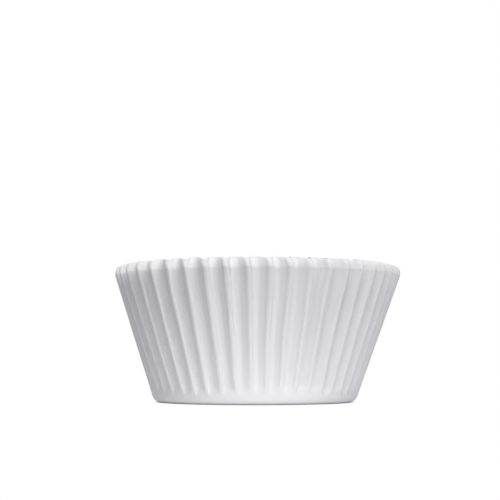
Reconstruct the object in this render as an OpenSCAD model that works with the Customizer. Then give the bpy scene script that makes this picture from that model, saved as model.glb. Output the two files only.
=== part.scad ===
// A fluted paper baking cup, standing upright on its flat base.
//
// The cup is one closed body. Its floor is a plain disc that turns up through a
// smooth heel into a straight, flaring wall. The wall is pleated into flutes, which
// begin at the heel with no depth at all and deepen quickly over the first millimetres,
// because the paper of the wall has to fit a smaller circle there than at the rim.
// Every flute leans the same way. Going around from the front towards +X it has a flat
// crest, a steep fall into the groove, the groove's flat bottom, a short step back up
// and a long gentle rise to the next crest.
// Along the top runs a rounded, bevelled band that keeps the flutes. Its upper edge stands
// highest over the grooves and dips over the crests.
//
// Millimetres. The origin is on the ground, below the centre of the rim. The front of
// the cup faces -Y and angles around it are counted from there towards +X.

/* [Cup] */
// Diameter of the base, where the straight line of the wall would meet the ground
base_d = 49.2; // [44:0.2:54]
// Diameter over the crests of the flutes, at the lower edge of the rim band
rim_d = 70; // [64:0.5:80]
// Height of the outer wall, from the ground to the lower edge of the rim band
wall_h = 30.6; // [22:0.2:42]
// Thickness of the wall, measured level
wall_t = 1.7; // [0.8:0.1:2.4]
// Thickness of the floor
floor_t = 2.2; // [0.8:0.1:3]
// Radius of the rounded heel between the base and the wall
heel_r = 2.2; // [1:0.1:3]
// How far the base sits off the centre of the rim, towards -X
lean = 0.7; // [0:0.1:1.5]

/* [Flutes] */
// Number of flutes around the wall
flutes = 45; // [36:1:50]
// Depth of the flutes at the rim, from crest to groove
flute_depth = 2.0; // [1.2:0.1:2.6]
// Share of a flute's width that its flat crest takes up
crest_share = 0.2; // [0.14:0.02:0.28]
// Share of a flute's width over which the crest's right edge drops sharply
drop_share = 0.05; // [0.04:0.01:0.1]
// Share of the depth that is gone at the end of that drop
drop_depth = 0.7; // [0.3:0.05:0.8]
// Share of a flute's width over which the right side goes on down to the groove
right_share = 0.1; // [0.06:0.02:0.16]
// Share of a flute's width that the flat bottom of its groove takes up
groove_share = 0.24; // [0.16:0.02:0.3]
// Share of a flute's width that the step out of the groove takes up
step_share = 0.08; // [0.04:0.02:0.12]
// Share of the depth that is left at the top of the step
step_left = 0.65; // [0.4:0.05:0.85]
// How the depth grows up the wall: 1 grows evenly, less grows fastest at the heel
depth_growth = 0.3; // [0.2:0.05:1]
// Angle of the first crest from the front of the cup
first_crest = 5; // [0:0.2:8]

/* [Rim] */
// Height of the bevelled band along the rim
rim_h = 2.7; // [1:0.1:3.5]
// How far the rim dips over each crest, as a share of the band's height
rim_dip = 0.2; // [0:0.05:0.7]
// How far the top of the rim leans in, past the straight line of the wall
rim_lean_in = 0.2; // [0:0.1:1.2]
// How far the middle of the band stands out from a straight bevel
rim_bulge = 0.3; // [0:0.05:0.5]
// Width of the narrow flat on top of the rim
rim_land = 0.25; // [0.15:0.05:0.5]

/* [Hidden] */

// Rings of points up the heel, up the wall, and down inside
heel_rings = 3;
wall_rings = 5;
inner_rings = 4;

// Bunches the rings of the wall towards the heel, where the flutes change fastest
ring_bunching = 1.8;

base_r = base_d / 2;
rim_r = rim_d / 2;
cup_h = wall_h + rim_h;

// Outward run of the wall for each millimetre of rise, and the turn of the heel
wall_run = (rim_r - base_r) / wall_h;
heel_turn = 90 - atan(wall_run);

// The heel's rounding takes this length off the base and off the wall
heel_cut = heel_r * tan(heel_turn / 2);
heel_top = heel_r * (1 - cos(heel_turn));

// One flute is six points, each at its place across the flute and sunk by its share of
// the depth: both edges of the crest, the end of the drop, both edges of the groove's
// bottom, and the top of the step. Places are counted from the middle of the crest.
flute_angle = 360 / flutes;
crest_right = crest_share / 2;
drop_end = crest_right + drop_share;
groove_left = drop_end + right_share;
groove_right = groove_left + groove_share;
step_top = groove_right + step_share;
point_place = [-crest_right, crest_right, drop_end, groove_left, groove_right, step_top];
point_sink = [0, 0, drop_depth, 1, 1, step_left];
flute_points = len(point_place);
point_count = flutes * flute_points;

// Angle around the cup of point k, and its share of the flute's depth
function place(k) =
    first_crest + flute_angle * (floor(k / flute_points) + point_place[k % flute_points]);
function sink(k) = point_sink[k % flute_points];

// Radius of the straight wall's outer line at height z
function wall_line(z) = base_r + wall_run * z;

// Depth of the flutes at height z
function depth_at(z) =
    let (share = (z - heel_top) / (wall_h - heel_top))
    flute_depth * pow(max(0, min(1, share)), depth_growth);

// Offset of the cup's axis at height z, which gives the slight lean
function axis_x(z) = -lean * (1 - min(z, wall_h) / wall_h);

// Height of step i of n between two heights, bunched towards the lower one
function bunched(low, high, i, n) = low + (high - low) * pow(i / n, ring_bunching);

// Radius and height of a point on the heel's arc, turned by angle a from the ground,
// for a heel whose corner is at the given radius and height
function heel_point(corner_r, corner_z, a) =
    [corner_r - heel_cut + heel_r * sin(a), corner_z + heel_r * (1 - cos(a))];

// Each level is [radius over the crests, height, depth of the flutes], and the levels of
// the rim band add how far they dip over the crests
outer_heel = [
    for (i = [0 : heel_rings])
    let (p = heel_point(base_r, 0, heel_turn * i / heel_rings))
    [p[0], p[1], 0]
];
outer_wall = [
    for (i = [1 : wall_rings])
    let (z = bunched(heel_top, wall_h, i, wall_rings))
    [wall_line(z), z, depth_at(z)]
];
rim_inner_r = wall_line(cup_h) - wall_t - rim_lean_in;
rim_outer_r = rim_inner_r + rim_land;
rim_top = [
    [(rim_r + rim_outer_r) / 2 + rim_bulge, wall_h + 0.55 * rim_h, flute_depth, 0.4 * rim_dip * rim_h],
    [rim_outer_r, cup_h, flute_depth, rim_dip * rim_h],
    [rim_inner_r, cup_h, flute_depth, rim_dip * rim_h]
];
inner_corner_r = wall_line(floor_t) - wall_t;
inner_heel_top = floor_t + heel_top;
inner_wall = [
    for (i = [inner_rings - 1 : -1 : 1])
    let (z = bunched(inner_heel_top, cup_h, i, inner_rings))
    [wall_line(z) - wall_t, z, depth_at(z)]
];
inner_heel = [
    for (i = [heel_rings : -1 : 0])
    let (p = heel_point(inner_corner_r, floor_t, heel_turn * i / heel_rings))
    [p[0], p[1], depth_at(p[1]) * i / heel_rings]
];
levels = concat(outer_heel, outer_wall, rim_top, inner_wall, inner_heel);

// The points of one level, in order around the cup
function ring(level) = [
    for (k = [0 : point_count - 1])
    let (
        r = level[0] - level[2] * sink(k),
        dip = len(level) > 3 ? level[3] * (1 - sink(k)) : 0
    )
    [axis_x(level[1]) + r * sin(place(k)), -r * cos(place(k)), level[1] - dip]
];

// The two triangles between points k and k + 1 of level i and of the level after it
function band_faces(i, k) =
    let (next = (k + 1) % point_count, low = i * point_count, high = low + point_count)
    [[low + k, high + k, high + next], [low + k, high + next, low + next]];

module liner() {
    points = [for (level = levels) each ring(level)];
    last = (len(levels) - 1) * point_count;
    skin = [
        for (i = [0 : len(levels) - 2])
        for (k = [0 : point_count - 1])
        each band_faces(i, k)
    ];
    underside = [for (k = [0 : point_count - 1]) k];
    cup_floor = [for (k = [point_count - 1 : -1 : 0]) last + k];
    color("white") polyhedron(points, concat(skin, [underside, cup_floor]));
}

liner();
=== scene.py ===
# %% [markdown]
# # A fluted paper baking cup
#
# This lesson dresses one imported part: a white paper cup for baking, with a flat round
# base, a smooth rounded heel and a wall pleated into flutes. The solid that comes in
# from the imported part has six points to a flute. The cup made here has the same sizes,
# but soft, slightly uneven pleats and real paper.
#
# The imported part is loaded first, because it says where everything is. All lengths
# are in metres, so the sizes of the cup are written in millimetres times `MM`.

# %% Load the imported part
import math

import bpy
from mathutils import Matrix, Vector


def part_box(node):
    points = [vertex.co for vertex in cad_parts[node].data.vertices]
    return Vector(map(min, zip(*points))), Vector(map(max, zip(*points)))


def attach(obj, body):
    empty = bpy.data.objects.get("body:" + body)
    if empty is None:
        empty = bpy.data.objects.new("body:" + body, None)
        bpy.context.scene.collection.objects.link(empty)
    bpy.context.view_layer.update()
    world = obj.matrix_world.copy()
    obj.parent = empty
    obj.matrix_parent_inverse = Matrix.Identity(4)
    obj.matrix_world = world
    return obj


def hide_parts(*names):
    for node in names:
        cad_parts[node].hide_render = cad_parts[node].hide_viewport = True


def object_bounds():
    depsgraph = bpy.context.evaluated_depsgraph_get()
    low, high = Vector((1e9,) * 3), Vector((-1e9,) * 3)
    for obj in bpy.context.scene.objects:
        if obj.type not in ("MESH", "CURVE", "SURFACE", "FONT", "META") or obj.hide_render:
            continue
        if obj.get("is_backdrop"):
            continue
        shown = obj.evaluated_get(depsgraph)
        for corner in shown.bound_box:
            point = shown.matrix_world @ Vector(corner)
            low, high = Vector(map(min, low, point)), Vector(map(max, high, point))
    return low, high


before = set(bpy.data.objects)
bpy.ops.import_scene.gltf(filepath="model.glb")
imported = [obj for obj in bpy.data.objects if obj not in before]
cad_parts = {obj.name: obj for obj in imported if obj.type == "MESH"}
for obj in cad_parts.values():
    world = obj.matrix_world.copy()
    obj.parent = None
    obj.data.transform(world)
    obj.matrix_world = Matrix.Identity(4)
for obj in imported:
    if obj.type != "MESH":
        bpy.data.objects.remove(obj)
MM = 0.001
SCENE = bpy.context.scene
CAD_LOW, CAD_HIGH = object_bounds()
CUP_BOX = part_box("liner")
print("the cup is %.1f mm wide and %.1f mm high" % (
    (CUP_BOX[1][0] - CUP_BOX[0][0]) / MM,
    CUP_BOX[1][2] / MM,
))

# %% [markdown]
# ## Camera
#
# The photograph looks at the cup from just above the ground, a little below the level
# of the rim, so that the rim bends up in the middle and the base bends down. How
# strongly they bend gives the camera's distance. Its height is the one level at which
# rings neither bend up nor down: that level is the horizon.
#
# The camera doesn't sit level and shifted. It is turned up a few degrees, which keeps
# its shift at zero, so other views of the cup stay centred.

# %% Place the camera
PHOTO_SIZE = 500
PHOTO_CENTRE = PHOTO_SIZE / 2
HORIZON_ROW = 358
CUP_COLUMN = 257.6
FOCAL_PIXELS = 1303
CAMERA_DISTANCE = 322 * MM
CAMERA_HEIGHT = 10.7 * MM
SENSOR_WIDTH = 36

camera_data = bpy.data.cameras.new("camera")
camera_data.sensor_width = SENSOR_WIDTH
camera_data.lens = SENSOR_WIDTH * FOCAL_PIXELS / PHOTO_SIZE
camera_data.clip_start = 10 * MM
camera = bpy.data.objects.new("camera", camera_data)
SCENE.collection.objects.link(camera)
SCENE.camera = camera
camera.location = (0, -CAMERA_DISTANCE, CAMERA_HEIGHT)
look_up = math.atan((HORIZON_ROW - PHOTO_CENTRE) / FOCAL_PIXELS)
look_left = math.atan((CUP_COLUMN - PHOTO_CENTRE) / FOCAL_PIXELS)
camera.rotation_euler = (math.radians(90) + look_up, 0, look_left)
print("lens %.1f mm, turned up %.1f degrees" % (camera_data.lens, math.degrees(look_up)))

# %% [markdown]
# ## Helpers for node trees
#
# Both the shape and the paper are made by node trees. Three small helpers keep the
# trees short to write: one starts a tree with named sockets, one adds a node and feeds
# its inputs, and one adds a sum. An input is fed by another node's output, or is given
# a plain value.

# %% Start a tree, add a node, add a sum
def start_tree(name, kind, inputs, outputs):
    """Makes a node tree with the named sockets, and gives it with its two end nodes."""
    tree = bpy.data.node_groups.new(name, kind)
    for label, socket_type, value in inputs:
        socket = tree.interface.new_socket(label, in_out="INPUT", socket_type=socket_type)
        if value is not None:
            socket.default_value = value
    for label, socket_type in outputs:
        tree.interface.new_socket(label, in_out="OUTPUT", socket_type=socket_type)
    return tree, tree.nodes.new("NodeGroupInput"), tree.nodes.new("NodeGroupOutput")


def add_node(tree, node_type, feeds, **settings):
    """Adds a node, sets it up, and feeds its inputs by name or by number."""
    node = tree.nodes.new(node_type)
    for label, value in settings.items():
        setattr(node, label, value)
    for key, feed in feeds.items():
        if isinstance(feed, bpy.types.NodeSocket):
            tree.links.new(feed, node.inputs[key])
        else:
            node.inputs[key].default_value = feed
    return node


def add_sum(tree, operation, *feeds, clamp=False):
    """Adds a Math node and gives its result."""
    node = add_node(
        tree,
        "ShaderNodeMath",
        dict(enumerate(feeds)),
        operation=operation,
        use_clamp=clamp,
    )
    return node.outputs[0]


# %% [markdown]
# ## The section of the cup
#
# Cut the cup through its axis and one line runs all the way round the paper: out over
# the underside, round the heel, up the wall, in over the bevelled rim, down the inside
# and back to the middle of the floor. A cup like this is pressed from a flat disc of
# paper, so this line is the disc's radius, bent.
#
# Every point of the line carries two more numbers. `rise` says how far up the fluted
# part of the wall it is, from 0 at the heel to 1 at the rim. `place` says which part of
# the cup it belongs to, so that each part can have its own paper.

# %% Sizes of the section
RIM_RADIUS = 35 * MM
BASE_RADIUS = 24.6 * MM
WALL_HEIGHT = 30.6 * MM
CUP_HEIGHT = CUP_BOX[1][2]
WALL_THICKNESS = 1.7 * MM
FLOOR_THICKNESS = 2.2 * MM
HEEL_RADIUS = 2.2 * MM
RIM_LAND = 0.25 * MM
RIM_LEAN_IN = 0.2 * MM
LEAN_IN_FROM = 0.85 * CUP_HEIGHT
LEAN_IN_CURVE = 1.5
BAND_BULGE = 0.35 * MM
LEAN = 0.7 * MM

WALL_RUN = (RIM_RADIUS - BASE_RADIUS) / WALL_HEIGHT
HEEL_TURN = math.radians(90) - math.atan(WALL_RUN)
HEEL_CUT = HEEL_RADIUS * math.tan(HEEL_TURN / 2)
HEEL_TOP = HEEL_RADIUS * (1 - math.cos(HEEL_TURN))
OUTSIDE, BAND, INSIDE = 0.0, 1.0, 2.0


def wall_line(z):
    """Radius of the straight outer wall at height z."""
    return BASE_RADIUS + WALL_RUN * z


def inner_line(z):
    """Radius of the inner wall over the crests, which leans in over its last few millimetres."""
    share = max(0.0, (z - LEAN_IN_FROM) / (CUP_HEIGHT - LEAN_IN_FROM))
    return wall_line(z) - WALL_THICKNESS - RIM_LEAN_IN * share ** LEAN_IN_CURVE


def rise_at(z):
    """How far up the fluted wall height z is."""
    return min(1.0, max(0.0, (z - HEEL_TOP) / (WALL_HEIGHT - HEEL_TOP)))


def heel_point(corner_radius, corner_z, share):
    """A point on the rounding between a floor and the wall, for a given share of its turn."""
    turn = HEEL_TURN * share
    return (
        corner_radius - HEEL_CUT + HEEL_RADIUS * math.sin(turn),
        corner_z + HEEL_RADIUS * (1 - math.cos(turn)),
    )


def steps(count, first=0.0, last=1.0):
    """Even steps from first to last, without the first one."""
    return [first + (last - first) * (i + 1) / count for i in range(count)]


# %% [markdown]
# The rows of points are close together where the line turns, on the heel and at the
# two edges of the rim band, and further apart where it is straight. The rows of the
# wall also bunch towards the heel, because the flutes begin there. Each edge of the band
# is a pair of rows a few hundredths of a millimetre apart. Smooth shading then gives a
# crisp edge with a thin highlight, as cut and pressed paper has.

# %% Make the section as a line of points
EDGE = 0.07 * MM
ROW_BUNCHING = 1.6
UNDERSIDE_SHARES = (0.0, 0.3, 0.6, 0.85, 1.0)
HEEL_ROWS = 7
WALL_ROWS = 27
BAND_SHARES = (0.03, 0.2, 0.4, 0.6, 0.8, 0.93)
BULGE_LIFT = 0.6
INSIDE_ROWS = 15
INSIDE_HEEL_ROWS = 6
FLOOR_SHARES = (0.85, 0.55, 0.25, 0.0)


def section_rows():
    """The rows of the section as (radius, height, rise, place), from the underside's middle on."""
    flat_radius = BASE_RADIUS - HEEL_CUT
    rows = [(flat_radius * share, 0.0, 0.0, OUTSIDE) for share in UNDERSIDE_SHARES]
    for share in steps(HEEL_ROWS):
        radius, z = heel_point(BASE_RADIUS, 0.0, share)
        rows.append((radius, z, 0.0, OUTSIDE))
    for share in steps(WALL_ROWS):
        z = HEEL_TOP + (WALL_HEIGHT - EDGE - HEEL_TOP) * share ** ROW_BUNCHING
        rows.append((wall_line(z), z, rise_at(z), OUTSIDE))
    inner_top = inner_line(CUP_HEIGHT)
    outer_top = inner_top + RIM_LAND
    for share in BAND_SHARES:
        bulge = BAND_BULGE * math.sin(math.pi * share)
        radius = RIM_RADIUS + (outer_top - RIM_RADIUS) * share + bulge
        z = WALL_HEIGHT + (CUP_HEIGHT - WALL_HEIGHT) * share + bulge * BULGE_LIFT
        rows.append((radius, z, 1.0, BAND))
    rows.append((outer_top - EDGE, CUP_HEIGHT, 1.0, BAND))
    rows.append((inner_top + EDGE, CUP_HEIGHT, 1.0, BAND))
    inner_heel_top = FLOOR_THICKNESS + HEEL_TOP
    inner_rise = CUP_HEIGHT - EDGE - inner_heel_top
    for share in [0.0] + steps(INSIDE_ROWS):
        z = inner_heel_top + inner_rise * (1 - share) ** ROW_BUNCHING
        rows.append((inner_line(z), z, rise_at(z), INSIDE))
    inner_corner = wall_line(FLOOR_THICKNESS) - WALL_THICKNESS
    for share in steps(INSIDE_HEEL_ROWS, 1.0, 0.0):
        radius, z = heel_point(inner_corner, FLOOR_THICKNESS, share)
        rows.append((radius, z, rise_at(z) * share, INSIDE))
    floor_edge = rows[-1][0]
    rows += [(floor_edge * share, FLOOR_THICKNESS, 0.0, INSIDE) for share in FLOOR_SHARES]
    return rows


def make_section():
    """A mesh line of the section's rows, standing in the XZ plane."""
    rows = section_rows()
    mesh = bpy.data.meshes.new("section")
    points = [(radius, 0, z) for radius, z, _, _ in rows]
    mesh.from_pydata(points, [(i, i + 1) for i in range(len(rows) - 1)], [])
    for label, column in (("rise", 2), ("place", 3)):
        values = mesh.attributes.new(label, "FLOAT", "POINT")
        for i, row in enumerate(rows):
            values.data[i].value = row[column]
    line = bpy.data.objects.new("section", mesh)
    SCENE.collection.objects.link(line)
    return line


section = make_section()
print("the section has %d rows" % len(section.data.vertices))

# %% [markdown]
# ## The pleated wall
#
# The wall could be modelled as forty-five separate folds, but it follows one rule, so a
# Geometry Nodes tree makes it. A flat grid has one row for each point of the section
# and a fixed number of columns for each flute. Every grid point looks up its section
# point, is turned to its angle around the cup, and is pushed in by its flute's depth.
#
# The numbers come from the light and dark stripes of the photograph. The flutes have no
# depth at the heel and deepen towards the rim, because that is where the flat disc has
# most spare paper. A flute is neither a wave nor a zigzag, and its two sides differ.
# Seen from the front and going right, it has a flat crest, a sharp drop into a flat
# groove, a step back up and a long gentle rise to the next crest. The flutes on the
# right of the cup are deeper. No two grooves start at quite the same height. And the
# folds waver a little sideways, bunch together at both sides and swing at the foot.
#
# `PLEAT_STEPS` goes across one flute. Each row names a stretch of it, with its share of
# the flute's width, and how far the paper is sunk at its end, as a share of the depth.
# `PLEAT_INPUTS` names every input of the tree, with its value.

# %% Sizes of the flutes
FLUTES = 45
SEED = 7
CREST_SHARE = 0.22
PLEAT_STEPS = [
    ("crest", CREST_SHARE, 0.0),
    ("drop", 0.03, 0.88),
    ("right side", 0.12, 1.0),
    ("groove", 0.22, 0.97),
    ("step", 0.14, 0.66),
    ("shelf", 0.14, 0.41),
]

PLEAT_INPUTS = [
    ("Section", "NodeSocketGeometry", None),
    ("Pleat", "NodeSocketObject", None),
    ("Flutes", "NodeSocketInt", FLUTES),
    ("First crest", "NodeSocketFloat", math.radians(5.0)),
    ("Flute depth", "NodeSocketFloat", 2.05 * MM),
    ("Deeper right", "NodeSocketFloat", 0.5),
    ("Depth growth", "NodeSocketFloat", 0.3),
    ("Soft start", "NodeSocketFloat", 0.09),
    ("Uneven start", "NodeSocketFloat", 0.03),
    ("Uneven depth", "NodeSocketFloat", 0.12),
    ("Waver", "NodeSocketFloat", math.radians(0.5)),
    ("Squeeze", "NodeSocketFloat", math.radians(3.0)),
    ("Swing", "NodeSocketFloat", math.radians(1.3)),
    ("Swing back", "NodeSocketFloat", math.radians(1.2)),
    ("Swell", "NodeSocketFloat", 0.12 * MM),
    ("Scallop", "NodeSocketFloat", 0.45 * MM),
    ("Band turn", "NodeSocketFloat", math.radians(0.9)),
    ("Uneven rim", "NodeSocketFloat", 0.1 * MM),
    ("Lean", "NodeSocketFloat", LEAN),
    ("Wall height", "NodeSocketFloat", WALL_HEIGHT),
    ("Cup height", "NodeSocketFloat", CUP_HEIGHT),
    ("Seed", "NodeSocketInt", SEED),
    ("Wall paper", "NodeSocketMaterial", None),
    ("Band paper", "NodeSocketMaterial", None),
    ("Inside paper", "NodeSocketMaterial", None),
]

# %% [markdown]
# The line across one flute is a second mesh line. Its X runs from 0 to 1 over the width
# of the flute, and its Z is the share of the depth by which the paper is sunk. Pressed
# paper never folds to a sharp line, so each corner is rounded with four points. The
# crest's right edge, where the sharp drop begins, is rounded a little less.

# %% Make the line across one flute
ROUND_CUT = 0.28
CREST_CUT = 0.22
MOST_CUT = 0.42
WIDTH_OVER_DEPTH = 4.5 / 1.6
BEND_SHARES = (0.0, 1 / 3, 2 / 3, 1.0)


def pleat_corners():
    """The corners across one flute, as (place, sunk share), from the crest's left edge on."""
    corners = [(0.0, 0.0)]
    place = 0.0
    for _, share, sunk in PLEAT_STEPS:
        place += share
        corners.append((place, sunk))
    return corners


def toward(corner, other, cut):
    """A point a short way from one corner towards another, always short of half the way."""
    run = (other[0] - corner[0]) * WIDTH_OVER_DEPTH
    length = math.hypot(run, other[1] - corner[1])
    share = min(MOST_CUT, cut / length)
    return tuple(a + (b - a) * share for a, b in zip(corner, other))


def rounded_pleat():
    """The pleat's corners, each turned into four points of a smooth bend."""
    corners = pleat_corners()
    first, last = corners[0], corners[-1]
    ring = [(last[0] - 1, last[1])] + corners + [(first[0] + 1, first[1])]
    points = []
    for before, corner, after in zip(ring, ring[1:], ring[2:]):
        cut = CREST_CUT if corner == corners[1] else ROUND_CUT
        enter = toward(corner, before, cut)
        leave = toward(corner, after, cut)
        for share in BEND_SHARES:
            weights = ((1 - share) ** 2, 2 * share * (1 - share), share ** 2)
            points.append(
                tuple(
                    sum(w * p[i] for w, p in zip(weights, (enter, corner, leave)))
                    for i in range(2)
                )
            )
    return points


def make_pleat():
    """A mesh line of the pleat's points."""
    points = rounded_pleat()
    mesh = bpy.data.meshes.new("pleat")
    mesh.from_pydata([(x, 0, z) for x, z in points], [], [])
    line = bpy.data.objects.new("pleat", mesh)
    SCENE.collection.objects.link(line)
    return line


pleat = make_pleat()
print("one flute has %d points across" % len(pleat.data.vertices))

# %% [markdown]
# The tree is built in three short steps. The first makes the grid and finds, for every
# point, its section point and its pleat point. The UV map of the grid runs once around
# and once along the section, which gives each point's column and row.

# %% Grid points and their section points
def look_up(tree, source, value, index, kind="FLOAT"):
    """Reads a value from the point of a line that has the given number."""
    found = add_node(
        tree,
        "GeometryNodeSampleIndex",
        {"Geometry": source, "Value": value, "Index": index},
        data_type=kind,
        domain="POINT",
    )
    return found.outputs[0]


def count_points(tree, source):
    """How many points a line has."""
    size = add_node(tree, "GeometryNodeAttributeDomainSize", {0: source})
    return size.outputs["Point Count"]


def read_lines(tree, group_in):
    """Makes the grid, and finds the section point and the pleat point of each of its points."""
    section_line = group_in.outputs["Section"]
    flutes = group_in.outputs["Flutes"]
    pleat_object = add_node(tree, "GeometryNodeObjectInfo", {"Object": group_in.outputs["Pleat"]})
    pleat_line = pleat_object.outputs["Geometry"]
    across_count = count_points(tree, pleat_line)
    columns = add_sum(tree, "MULTIPLY", flutes, across_count)
    rows = count_points(tree, section_line)
    grid = add_node(
        tree,
        "GeometryNodeMeshGrid",
        {
            "Size X": 1.0,
            "Size Y": 1.0,
            "Vertices X": add_sum(tree, "ADD", columns, 1),
            "Vertices Y": rows,
        },
    )
    uv = add_node(tree, "ShaderNodeSeparateXYZ", {0: grid.outputs["UV Map"]})
    last_row = add_sum(tree, "SUBTRACT", rows, 1)
    row = add_sum(tree, "ROUND", add_sum(tree, "MULTIPLY", uv.outputs["Y"], last_row))
    column = add_sum(tree, "ROUND", add_sum(tree, "MULTIPLY", uv.outputs["X"], columns))
    spot = add_node(tree, "GeometryNodeInputPosition", {}).outputs[0]
    level = look_up(tree, section_line, spot, row, "FLOAT_VECTOR")
    level = add_node(tree, "ShaderNodeSeparateXYZ", {0: level})
    step = add_sum(tree, "FLOORED_MODULO", column, across_count)
    bend = look_up(tree, pleat_line, spot, step, "FLOAT_VECTOR")
    bend = add_node(tree, "ShaderNodeSeparateXYZ", {0: bend})
    turn_number = add_sum(tree, "FLOOR", add_sum(tree, "DIVIDE", column, across_count))
    around = add_sum(tree, "DIVIDE", add_sum(tree, "ADD", turn_number, bend.outputs["X"]), flutes)
    found = {
        "radius": level.outputs["X"],
        "height": level.outputs["Z"],
        "number": add_sum(tree, "FLOORED_MODULO", turn_number, flutes),
        "sunk": bend.outputs["Z"],
        "around": around,
        "along": uv.outputs["Y"],
    }
    for label in ("rise", "place"):
        stored = add_node(
            tree, "GeometryNodeInputNamedAttribute", {"Name": label}, data_type="FLOAT"
        )
        found[label] = look_up(tree, section_line, stored.outputs[0], row)
    return grid, found


# %% [markdown]
# The second step works out one number, how far a point is sunk from the crest into the
# groove. Noise read on a circle comes back to where it began, so the folds still meet
# after a full turn. Each groove draws its own start and depth from its number. The
# flutes are deepest where the sine of the angle has reached `DEEPEST_FROM`, which is 30
# degrees to the right of the front.

# %% Sunk share of a point across its flute
DEEPEST_FROM = 0.5


def circle_noise(tree, angle, height, seed, scale, stretch):
    """Noise from -0.5 to 0.5 around the cup; a stretch above 0 lets it change up the wall."""
    ring = add_node(
        tree,
        "ShaderNodeCombineXYZ",
        {
            0: add_sum(tree, "COSINE", angle),
            1: add_sum(tree, "SINE", angle),
            2: add_sum(tree, "MULTIPLY", height, stretch),
        },
    )
    noise = add_node(
        tree,
        "ShaderNodeTexNoise",
        {"Vector": ring.outputs[0], "W": seed, "Scale": scale, "Detail": 1.0},
        noise_dimensions="4D",
    )
    return add_sum(tree, "SUBTRACT", noise.outputs[0], 0.5)


def flute_draw(tree, number, seed, salt):
    """One random number from 0 to 1 for each flute; each salt gives another row of them."""
    key = add_sum(tree, "ADD", add_sum(tree, "MULTIPLY", seed, 10.0), salt)
    pair = add_node(tree, "ShaderNodeCombineXYZ", {0: number, 1: key})
    draw = add_node(
        tree,
        "ShaderNodeTexWhiteNoise",
        {"Vector": pair.outputs[0]},
        noise_dimensions="2D",
    )
    return draw.outputs["Value"]


def flute_sink(tree, group_in, found):
    """How far a point is sunk below the crest line, in metres."""
    inputs = group_in.outputs
    seed = inputs["Seed"]
    number = found["number"]
    start_draw = flute_draw(tree, number, seed, salt=1.0)
    start = add_sum(tree, "MULTIPLY", inputs["Uneven start"], start_draw)
    risen = add_node(
        tree,
        "ShaderNodeMapRange",
        {"Value": found["rise"], "From Min": start, "From Max": 1.0},
    )
    soft_start = add_node(
        tree,
        "ShaderNodeMapRange",
        {"Value": risen.outputs[0], "From Max": inputs["Soft start"]},
        interpolation_type="SMOOTHSTEP",
    )
    grown = add_sum(tree, "POWER", risen.outputs[0], inputs["Depth growth"])
    grown = add_sum(tree, "MULTIPLY", grown, soft_start.outputs[0])
    depth_draw = flute_draw(tree, number, seed, salt=2.0)
    loss = add_sum(tree, "MULTIPLY", inputs["Uneven depth"], depth_draw)
    to_right = add_node(
        tree,
        "ShaderNodeMapRange",
        {
            "Value": add_sum(tree, "SINE", found["angle"]),
            "From Min": 0.0,
            "From Max": DEEPEST_FROM,
            "To Min": 1.0,
            "To Max": add_sum(tree, "ADD", inputs["Deeper right"], 1.0),
        },
        interpolation_type="SMOOTHSTEP",
    )
    depth = add_sum(tree, "MULTIPLY", inputs["Flute depth"], grown)
    depth = add_sum(tree, "MULTIPLY", depth, to_right.outputs[0])
    depth = add_sum(tree, "MULTIPLY", depth, add_sum(tree, "SUBTRACT", 1.0, loss))
    return add_sum(tree, "MULTIPLY", found["sunk"], depth)


# %% [markdown]
# The third step puts every point in its place. Angles are counted from the front of
# the cup, which faces -Y. The base sits a little to the left of the rim, as in the
# photograph, so the axis leans. Up the rim band the crests drop a little and the folds
# turn a little to the left, which gives the rim its scallops. The curves below are
# powers: the higher one is, the closer a swing keeps to its own side or to the foot.
# Smooth noise mostly stays between -0.25 and 0.25, so `NOISE_GAIN` brings it to 1.
#
# Merging by distance then closes the seam and draws each end row into one point. Last
# come the three papers: wall, rim band and inside. A face takes the mean place of its
# points, so a face that joins two parts gets the paper of the later one.

# %% Put the points in their places
LEFT_CURVE = 2.0
RIGHT_CURVE = 3.0
FOOT_CURVE = 1.6
NOISE_GAIN = 4.0
SWELL_GAIN = 2.0
MERGE_DISTANCE = 0.001 * MM
PAST_A_PART = 0.25


def turn_folds(tree, group_in, angle, to_base, height):
    """The angle of a point after the folds have wavered, bunched and swung."""
    inputs = group_in.outputs
    sine = add_sum(tree, "SINE", angle)
    near_left = add_sum(tree, "MAXIMUM", add_sum(tree, "SUBTRACT", 1.0, sine), 0.0)
    near_right = add_sum(tree, "MAXIMUM", sine, 0.0)
    swing = add_sum(
        tree, "MULTIPLY", inputs["Swing"], add_sum(tree, "POWER", near_left, LEFT_CURVE)
    )
    back = add_sum(
        tree, "MULTIPLY", inputs["Swing back"], add_sum(tree, "POWER", near_right, RIGHT_CURVE)
    )
    low_down = add_sum(tree, "POWER", to_base, FOOT_CURVE)
    swing = add_sum(tree, "MULTIPLY", add_sum(tree, "ADD", swing, back), low_down)
    squeeze = add_sum(
        tree, "MULTIPLY", inputs["Squeeze"], add_sum(tree, "MULTIPLY", sine, sine)
    )
    waver = circle_noise(tree, angle, height, inputs["Seed"], scale=7.0, stretch=14.0)
    most = add_sum(tree, "MULTIPLY", inputs["Waver"], NOISE_GAIN)
    waver = add_sum(tree, "MULTIPLY", waver, most)
    turned = add_sum(tree, "ADD", angle, swing)
    turned = add_sum(tree, "SUBTRACT", turned, squeeze)
    return add_sum(tree, "ADD", turned, waver)


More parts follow.
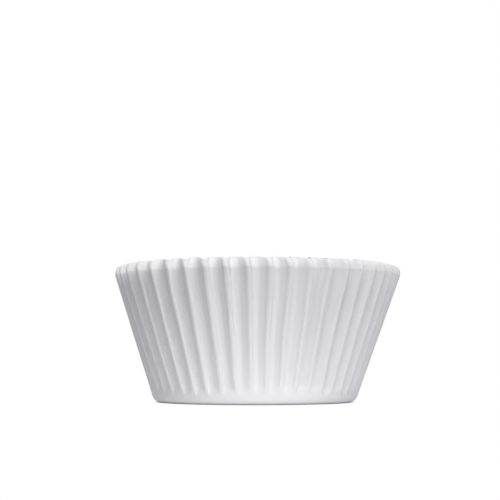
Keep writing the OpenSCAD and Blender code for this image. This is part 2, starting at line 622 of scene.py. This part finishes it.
def place_points(tree, group_in, grid, found, sink):
    """Moves the grid's points onto the pleated cup."""
    inputs = group_in.outputs
    height = found["height"]
    climbed = add_sum(tree, "DIVIDE", height, inputs["Wall height"], clamp=True)
    to_base = add_sum(tree, "SUBTRACT", 1.0, climbed)
    angle = found["angle"]
    on_band = add_node(
        tree,
        "ShaderNodeMapRange",
        {"Value": height, "From Min": inputs["Wall height"], "From Max": inputs["Cup height"]},
    ).outputs[0]
    turned = turn_folds(tree, group_in, angle, to_base, height)
    turned = add_sum(
        tree, "SUBTRACT", turned, add_sum(tree, "MULTIPLY", inputs["Band turn"], on_band)
    )
    swell = circle_noise(tree, angle, height, inputs["Seed"], scale=1.6, stretch=30.0)
    most = add_sum(tree, "MULTIPLY", inputs["Swell"], SWELL_GAIN)
    swell = add_sum(tree, "MULTIPLY", swell, most)
    swell = add_sum(tree, "MULTIPLY", swell, climbed)
    radius = add_sum(tree, "SUBTRACT", add_sum(tree, "ADD", found["radius"], swell), sink)
    proud = add_sum(tree, "SUBTRACT", 1.0, found["sunk"], clamp=True)
    drop = add_sum(tree, "MULTIPLY", add_sum(tree, "POWER", proud, 2.0), inputs["Scallop"])
    rim_seed = add_sum(tree, "ADD", inputs["Seed"], 5.0)
    lift = circle_noise(tree, angle, 0.0, rim_seed, scale=8.0, stretch=0.0)
    most = add_sum(tree, "MULTIPLY", inputs["Uneven rim"], NOISE_GAIN)
    lift = add_sum(tree, "MULTIPLY", lift, most)
    lift = add_sum(tree, "MULTIPLY", add_sum(tree, "SUBTRACT", lift, drop), on_band)
    off_axis = add_sum(tree, "MULTIPLY", inputs["Lean"], to_base)
    x = add_sum(tree, "MULTIPLY", radius, add_sum(tree, "SINE", turned))
    y = add_sum(tree, "MULTIPLY", radius, add_sum(tree, "COSINE", turned))
    spot = add_node(
        tree,
        "ShaderNodeCombineXYZ",
        {
            0: add_sum(tree, "SUBTRACT", x, off_axis),
            1: add_sum(tree, "MULTIPLY", y, -1.0),
            2: add_sum(tree, "ADD", height, lift),
        },
    )
    uv_map = add_node(tree, "ShaderNodeCombineXYZ", {0: found["around"], 1: found["along"]})
    kept = grid.outputs["Mesh"]
    for label, kind, domain, value in (
        ("UVMap", "FLOAT2", "CORNER", uv_map.outputs[0]),
        ("place", "FLOAT", "POINT", found["place"]),
    ):
        store = add_node(
            tree,
            "GeometryNodeStoreNamedAttribute",
            {"Geometry": kept, "Name": label, "Value": value},
            data_type=kind,
            domain=domain,
        )
        kept = store.outputs[0]
    moved = add_node(
        tree, "GeometryNodeSetPosition", {"Geometry": kept, "Position": spot.outputs[0]}
    )
    return moved.outputs[0]


def finish_paper(tree, group_in, mesh):
    """Closes the seam and the two middles, smooths the shading and sets the three papers."""
    closed = add_node(
        tree, "GeometryNodeMergeByDistance", {"Geometry": mesh, "Distance": MERGE_DISTANCE}
    )
    smooth = add_node(tree, "GeometryNodeSetShadeSmooth", {"Geometry": closed.outputs[0]})
    done = add_node(tree, "GeometryNodeRealizeInstances", {"Geometry": smooth.outputs[0]})
    everywhere = add_node(
        tree,
        "GeometryNodeSetMaterial",
        {"Geometry": done.outputs[0], "Material": group_in.outputs["Wall paper"]},
    )
    geometry = everywhere.outputs[0]
    place = add_node(tree, "GeometryNodeInputNamedAttribute", {"Name": "place"}, data_type="FLOAT")
    for label, part_before in (("Band paper", OUTSIDE), ("Inside paper", BAND)):
        past = add_sum(tree, "GREATER_THAN", place.outputs[0], part_before + PAST_A_PART)
        paper = add_node(
            tree,
            "GeometryNodeSetMaterial",
            {
                "Geometry": geometry,
                "Selection": past,
                "Material": group_in.outputs[label],
            },
        )
        geometry = paper.outputs[0]
    return geometry


def build_pleat_tree():
    """The whole tree: section in, pleated cup out."""
    tree, group_in, group_out = start_tree(
        "pleated cup", "GeometryNodeTree", PLEAT_INPUTS, [("Cup", "NodeSocketGeometry")]
    )
    grid, found = read_lines(tree, group_in)
    full_turn = add_sum(tree, "MULTIPLY", found["around"], 2 * math.pi)
    crest_middle = math.pi * CREST_SHARE / FLUTES
    first = add_sum(tree, "SUBTRACT", group_in.outputs["First crest"], crest_middle)
    found["angle"] = add_sum(tree, "ADD", full_turn, first)
    sink = flute_sink(tree, group_in, found)
    mesh = place_points(tree, group_in, grid, found, sink)
    tree.links.new(finish_paper(tree, group_in, mesh), group_out.inputs[0])
    return tree


pleat_tree = build_pleat_tree()
print("the pleat tree has %d nodes" % len(pleat_tree.nodes))

# %% [markdown]
# ## Paper
#
# Baking cups are pressed from thin white greaseproof paper. Seen close, it has three
# kinds of detail. Fibres a few tenths of a millimetre long lie in all directions and
# give the surface a fine, dull grain. The pulp is a little thicker in some places than
# in others, in clouds a few millimetres across. And the pressing drags fine streaks
# along the folds.
#
# All three papers of this cup have this grain, each in its own amount, so it is made
# once as a node group. It puts out only things that vary over the surface: masks of
# the pulp's clouds, of the streaks and of the fibres, and a height for bumps.

# %% Grain shared by the three papers
GRAIN_INPUTS = [
    ("Cloud size", "NodeSocketFloat", 2.4 * MM),
    ("Fibre size", "NodeSocketFloat", 0.16 * MM),
    ("Streaks around", "NodeSocketFloat", 1300.0),
    ("Streaks along", "NodeSocketFloat", 14.0),
    ("Fibre height", "NodeSocketFloat", 0.006 * MM),
    ("Streak height", "NodeSocketFloat", 0.01 * MM),
]
GRAIN_OUTPUTS = [
    ("Clouds", "NodeSocketFloat"),
    ("Streaks", "NodeSocketFloat"),
    ("Fibres", "NodeSocketFloat"),
    ("Height", "NodeSocketFloat"),
]


def noise_mask(tree, vector, scale, detail, roughness, distortion=0.0):
    """A noise texture stretched to run from 0 to 1."""
    noise = add_node(
        tree,
        "ShaderNodeTexNoise",
        {
            "Vector": vector,
            "Scale": scale,
            "Detail": detail,
            "Roughness": roughness,
            "Distortion": distortion,
        },
    )
    spread = add_node(
        tree,
        "ShaderNodeMapRange",
        {"Value": noise.outputs[0], "From Min": 0.25, "From Max": 0.75},
    )
    return spread.outputs[0]


def build_grain():
    """The paper grain group."""
    tree, group_in, group_out = start_tree(
        "paper grain", "ShaderNodeTree", GRAIN_INPUTS, GRAIN_OUTPUTS
    )
    inputs = group_in.outputs
    coordinates = tree.nodes.new("ShaderNodeTexCoord").outputs
    cloud_scale = add_sum(tree, "DIVIDE", 1.0, inputs["Cloud size"])
    spot = coordinates["Object"]
    clouds = noise_mask(tree, spot, cloud_scale, detail=4.0, roughness=0.6)
    fibre_scale = add_sum(tree, "DIVIDE", 1.0, inputs["Fibre size"])
    fibres = noise_mask(tree, spot, fibre_scale, detail=3.0, roughness=0.65, distortion=1.5)
    uv = add_node(tree, "ShaderNodeSeparateXYZ", {0: coordinates["UV"]})
    along = add_node(
        tree,
        "ShaderNodeCombineXYZ",
        {
            0: add_sum(tree, "MULTIPLY", uv.outputs["X"], inputs["Streaks around"]),
            1: add_sum(tree, "MULTIPLY", uv.outputs["Y"], inputs["Streaks along"]),
        },
    )
    streaks = noise_mask(tree, along.outputs[0], 1.0, detail=3.0, roughness=0.6)
    height = add_sum(
        tree,
        "ADD",
        add_sum(tree, "MULTIPLY", fibres, inputs["Fibre height"]),
        add_sum(tree, "MULTIPLY", streaks, inputs["Streak height"]),
    )
    results = (clouds, streaks, fibres, height)
    for socket, value in zip(group_out.inputs, results):
        tree.links.new(value, socket)
    return tree


grain = build_grain()
print("the grain group puts out %s" % ", ".join(label for label, _ in GRAIN_OUTPUTS))

# %% [markdown]
# A paper material mixes two close whites by the clouds and streaks. White paper holds a
# trace of blue whitener, so the wall is a very slightly cool white. The bevelled band
# of the rim shows the bare edge of the paper, which has no such glaze and is a touch
# warmer. It is also painted a much brighter white than the wall: a painted highlight for
# the light that the band, which faces up, catches from above. At its lower edge the band
# has the wall's colour and changes within a millimetre, so no hard line shows there. The
# inside is as the wall is, but rougher and less streaked.

# %% Make the three papers
SOFT_EDGE = 0.7 * MM
ROUGH_SPREAD = 0.06
PAPER_IOR = 1.45
PAPER_SHEEN = 0.35


def soften_edge(tree, colour, low_colour):
    """Changes smoothly from low_colour to colour, just above the lower edge of the rim band."""
    spot = tree.nodes.new("ShaderNodeTexCoord").outputs["Object"]
    height = add_node(tree, "ShaderNodeSeparateXYZ", {0: spot}).outputs["Z"]
    climbed = add_node(
        tree,
        "ShaderNodeMapRange",
        {"Value": height, "From Min": WALL_HEIGHT, "From Max": WALL_HEIGHT + SOFT_EDGE},
        interpolation_type="SMOOTHSTEP",
    )
    soft = add_node(
        tree,
        "ShaderNodeMix",
        {"Factor": climbed.outputs[0], 6: (*low_colour, 1.0), 7: colour},
        data_type="RGBA",
    )
    return soft.outputs[2]


def make_paper(name, thick, thin, roughness, streak_share, bump, grain_sizes, low_colour=None):
    """White paper; thick and thin are its colours where the pulp is so, low_colour is below."""
    material = bpy.data.materials.new(name)
    material.use_nodes = True
    tree = material.node_tree
    shader = tree.nodes["Principled BSDF"]
    group = add_node(tree, "ShaderNodeGroup", {}, node_tree=grain)
    for label, value in grain_sizes.items():
        group.inputs[label].default_value = value
    outputs = group.outputs
    pulp = add_node(
        tree,
        "ShaderNodeMix",
        {"Factor": streak_share, 2: outputs["Clouds"], 3: outputs["Streaks"]},
        data_type="FLOAT",
    )
    colour = add_node(
        tree,
        "ShaderNodeMix",
        {"Factor": pulp.outputs[0], 6: (*thin, 1.0), 7: (*thick, 1.0)},
        data_type="RGBA",
    )
    colour = colour.outputs[2]
    if low_colour:
        colour = soften_edge(tree, colour, low_colour)
    tree.links.new(colour, shader.inputs["Base Color"])
    rough = add_node(
        tree,
        "ShaderNodeMapRange",
        {
            "Value": outputs["Fibres"],
            "To Min": roughness - ROUGH_SPREAD,
            "To Max": roughness + ROUGH_SPREAD,
        },
    )
    tree.links.new(rough.outputs[0], shader.inputs["Roughness"])
    bumps = add_node(
        tree, "ShaderNodeBump", {"Strength": bump, "Distance": 1.0, "Height": outputs["Height"]}
    )
    tree.links.new(bumps.outputs[0], shader.inputs["Normal"])
    shader.inputs["IOR"].default_value = PAPER_IOR
    shader.inputs["Specular IOR Level"].default_value = PAPER_SHEEN
    return material


wall_paper = make_paper(
    "wall paper",
    thick=(0.784, 0.784, 0.816),
    thin=(0.754, 0.754, 0.788),
    roughness=0.6,
    streak_share=0.45,
    bump=0.6,
    grain_sizes={"Streak height": 0.012 * MM},
)
# The band's brighter white is painted light: a painted highlight for the light that the
# upward-facing band catches from above.
band_paper_painted_bright = make_paper(
    "band paper",
    thick=(0.9, 0.898, 0.903),
    thin=(0.88, 0.878, 0.884),
    roughness=0.7,
    streak_share=0.3,
    bump=0.6,
    grain_sizes={"Fibre size": 0.12 * MM, "Streak height": 0.008 * MM},
    low_colour=(0.769, 0.769, 0.802),
)
inside_paper = make_paper(
    "inside paper",
    thick=(0.785, 0.783, 0.8),
    thin=(0.75, 0.748, 0.77),
    roughness=0.66,
    streak_share=0.3,
    bump=0.6,
    grain_sizes={"Streak height": 0.008 * MM},
)
print("papers: %s" % ", ".join(m.name for m in (wall_paper, band_paper_painted_bright, inside_paper)))

# %% [markdown]
# ## Press the cup
#
# The tree is put on the section as a modifier. Its inputs are set by each socket's
# identifier, before the object is evaluated for the first time. The result is then
# taken as a plain mesh, and the section and its modifier are deleted, so that only the
# finished cup is left. A grid made by nodes starts with one empty material slot, which
# is taken out.

# %% Run the tree and keep its mesh
def press_cup():
    """Runs the pleat tree on the section and gives the finished cup."""
    modifier = section.modifiers.new("pleats", "NODES")
    modifier.node_group = pleat_tree
    papers = {
        "Pleat": pleat,
        "Wall paper": wall_paper,
        "Band paper": band_paper_painted_bright,
        "Inside paper": inside_paper,
    }
    for item in pleat_tree.interface.items_tree:
        if item.in_out == "INPUT" and item.name in papers:
            modifier[item.identifier] = papers[item.name]
    evaluated = section.evaluated_get(bpy.context.evaluated_depsgraph_get())
    mesh = bpy.data.meshes.new_from_object(evaluated)
    if mesh.materials[0] is None:
        mesh.materials.pop(index=0)
    cup_object = bpy.data.objects.new("cup", mesh)
    SCENE.collection.objects.link(cup_object)
    bpy.data.objects.remove(section)
    bpy.data.objects.remove(pleat)
    return cup_object


cup = press_cup()
cup.data.name = "cup"
triangles = sum(len(face.vertices) - 2 for face in cup.data.polygons)
print("the cup has %d points and %d triangles" % (len(cup.data.vertices), triangles))
print("its materials are %s" % ", ".join(m.name for m in cup.data.materials))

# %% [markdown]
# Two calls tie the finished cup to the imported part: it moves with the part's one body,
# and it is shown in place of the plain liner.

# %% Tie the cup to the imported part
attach(cup, "root")
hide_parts("liner")

# %% [markdown]
# ## Floor and light
#
# The photograph has a pure white ground with almost no shadow, and the wall of the cup
# brightens towards the ground. So the ground is a matt sheet that glows softly around
# the cup and in a pool in front of it, as a light table does, and this glow lights the
# wall from below. It fades out at the heel. To the camera the sheet is plain white,
# except close to the base, where the contact shadow stays.

# %% Make the glowing ground
GROUND_COLOUR = (0.4, 0.4, 0.4, 1.0)
BASE_SPOT = (-LEAN, 0.0, 0.0)
POOL_SPOT = (0.0, -45 * MM, 0.0)
TABLE_GLOW = 0.36
POOL_GLOW = 0.44
NEARLY_WHITE = 0.98

# From which distance to which distance each thing changes, in metres
GLOW_STARTS = (23 * MM, 25.8 * MM)
TABLE_GLOW_ENDS = (45 * MM, 120 * MM)
POOL_GLOW_ENDS = (10 * MM, 55 * MM)
WHITE_STARTS = (23 * MM, 25.2 * MM)
WHITE_IS_FULL = (24 * MM, 36 * MM)


def distance_from(tree, spot):
    """Distance over the ground from a spot."""
    place = tree.nodes.new("ShaderNodeTexCoord").outputs["Object"]
    node = add_node(tree, "ShaderNodeVectorMath", {0: place, 1: spot}, operation="DISTANCE")
    return node.outputs["Value"]


def fade(tree, distance, reach, at_near, at_far):
    """A value that changes smoothly with a distance, from one end of its reach to the other."""
    ramp = add_node(
        tree,
        "ShaderNodeMapRange",
        {
            "Value": distance,
            "From Min": reach[0],
            "From Max": reach[1],
            "To Min": at_near,
            "To Max": at_far,
        },
        interpolation_type="SMOOTHSTEP",
    )
    return ramp.outputs[0]


def seen_itself(tree):
    """1 for a ray that shows the thing itself or its mirror image, 0 for one that lights others."""
    rays = tree.nodes.new("ShaderNodeLightPath").outputs
    seen = add_sum(tree, "MAXIMUM", rays["Is Camera Ray"], rays["Is Glossy Ray"])
    return add_sum(tree, "MAXIMUM", seen, rays["Is Transmission Ray"])


def make_ground():
    """Matt glowing ground that the camera sees as white, with the shadow kept near the cup."""
    material = bpy.data.materials.new("ground")
    material.use_nodes = True
    tree = material.node_tree
    shader = tree.nodes["Principled BSDF"]
    shader.inputs["Base Color"].default_value = GROUND_COLOUR
    shader.inputs["Roughness"].default_value = 1.0
    shader.inputs["Specular IOR Level"].default_value = 0.0
    shader.inputs["Emission Color"].default_value = (1.0, 1.0, 1.0, 1.0)

    from_base = distance_from(tree, BASE_SPOT)
    around = fade(tree, from_base, TABLE_GLOW_ENDS, TABLE_GLOW, 0.0)
    in_front = fade(tree, distance_from(tree, POOL_SPOT), POOL_GLOW_ENDS, POOL_GLOW, 0.0)
    clear = fade(tree, from_base, GLOW_STARTS, 0.0, 1.0)
    glow = add_sum(tree, "MULTIPLY", clear, add_sum(tree, "ADD", around, in_front))
    tree.links.new(glow, shader.inputs["Emission Strength"])

    white = add_node(tree, "ShaderNodeEmission", {"Color": (1, 1, 1, 1), "Strength": 1.0})
    clear = fade(tree, from_base, WHITE_STARTS, 0.0, 1.0)
    full = fade(tree, from_base, WHITE_IS_FULL, NEARLY_WHITE, 1.0)
    share = add_sum(tree, "MULTIPLY", add_sum(tree, "MULTIPLY", clear, full), seen_itself(tree))
    mixed = add_node(
        tree, "ShaderNodeMixShader", {0: share, 1: shader.outputs[0], 2: white.outputs[0]}
    )
    tree.links.new(mixed.outputs[0], tree.nodes["Material Output"].inputs["Surface"])
    return material


# %% [markdown]
# The floor is one large sheet of this ground. It is part of the stage, not of the cup.

# %% Lay the floor
FLOOR_HALF = 2.5


def lay_floor():
    """A large flat sheet under the cup, which faces up."""
    mesh = bpy.data.meshes.new("floor")
    turns = [(-1, -1), (1, -1), (1, 1), (-1, 1)]
    corners = [(FLOOR_HALF * x, FLOOR_HALF * y, 0) for x, y in turns]
    mesh.from_pydata(corners, [], [(0, 1, 2, 3)])
    mesh.materials.append(make_ground())
    sheet = bpy.data.objects.new("floor", mesh)
    SCENE.collection.objects.link(sheet)
    return sheet


floor = lay_floor()
floor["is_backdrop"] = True
print("the floor is %.0f m wide" % (2 * FLOOR_HALF))

# %% [markdown]
# The sky is white where it is seen, and gives no light of its own. The lamps are large
# soft squares, far away and at plain strength. One hangs high above the left and lights
# the band of the rim. Two in front, at half height, light the wall from the middle and
# the right. Three hang low at the right, the front left and the left, and set how bright
# the two sides of every flute are. One behind lights the far side, which the photograph
# doesn't show.

# %% Set up sky and lamps
def make_sky():
    """White to the eye, and dark as a light."""
    world = bpy.data.worlds.new("sky")
    world.use_nodes = True
    tree = world.node_tree
    background = tree.nodes["Background"]
    background.inputs["Color"].default_value = (1.0, 1.0, 1.0, 1.0)
    tree.links.new(seen_itself(tree), background.inputs["Strength"])
    return world


LAMP_SIZE = 350 * MM
LAMP_DISTANCE = 800 * MM
AIM_HEIGHT = 15 * MM

# Name, azimuth from the front towards +X and elevation in degrees, power in watts
LAMPS = [
    ("top left lamp", -60, 74, 2.2),
    ("upper front lamp", 5, 45, 1.65),
    ("upper right lamp", 32, 40, 1.45),
    ("right lamp", 36, 10, 1.0),
    ("front left lamp", -15, 10, 0.55),
    ("left lamp", -40, 10, 0.1),
    ("back lamp", 180, 25, 2.2),
]


def hang_lamp(name, azimuth, elevation, power):
    """A square lamp that is aimed at the middle of the cup's height."""
    data = bpy.data.lights.new(name, "AREA")
    data.shape = "SQUARE"
    data.size = LAMP_SIZE
    data.energy = power
    lamp = bpy.data.objects.new(name, data)
    SCENE.collection.objects.link(lamp)
    turn = math.radians(azimuth)
    rise = math.radians(elevation)
    reach = LAMP_DISTANCE * math.cos(rise)
    lamp.location = (
        reach * math.sin(turn),
        -reach * math.cos(turn),
        AIM_HEIGHT + LAMP_DISTANCE * math.sin(rise),
    )
    lamp.rotation_euler = (math.radians(90) - rise, 0, turn)


SCENE.world = make_sky()
for lamp_row in LAMPS:
    hang_lamp(*lamp_row)
SCENE.view_settings.view_transform = "Standard"
print("%d lamps, %.1f W in all" % (len(LAMPS), sum(row[3] for row in LAMPS)))

# %% [markdown]
# ## Print the two boxes and finish
#
# The dressed cup is meant to stay inside the imported part's box, apart from a little
# slack. Both boxes are printed.

# %% Write both boxes and finish
seen_low, seen_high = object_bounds()
boxes = {
    "cad": [list(CAD_LOW), list(CAD_HIGH)],
    "visual": [list(seen_low), list(seen_high)],
}
for label, (low, high) in boxes.items():
    print(label, " x ".join("%.2f mm" % ((b - a) / MM) for a, b in zip(low, high)))
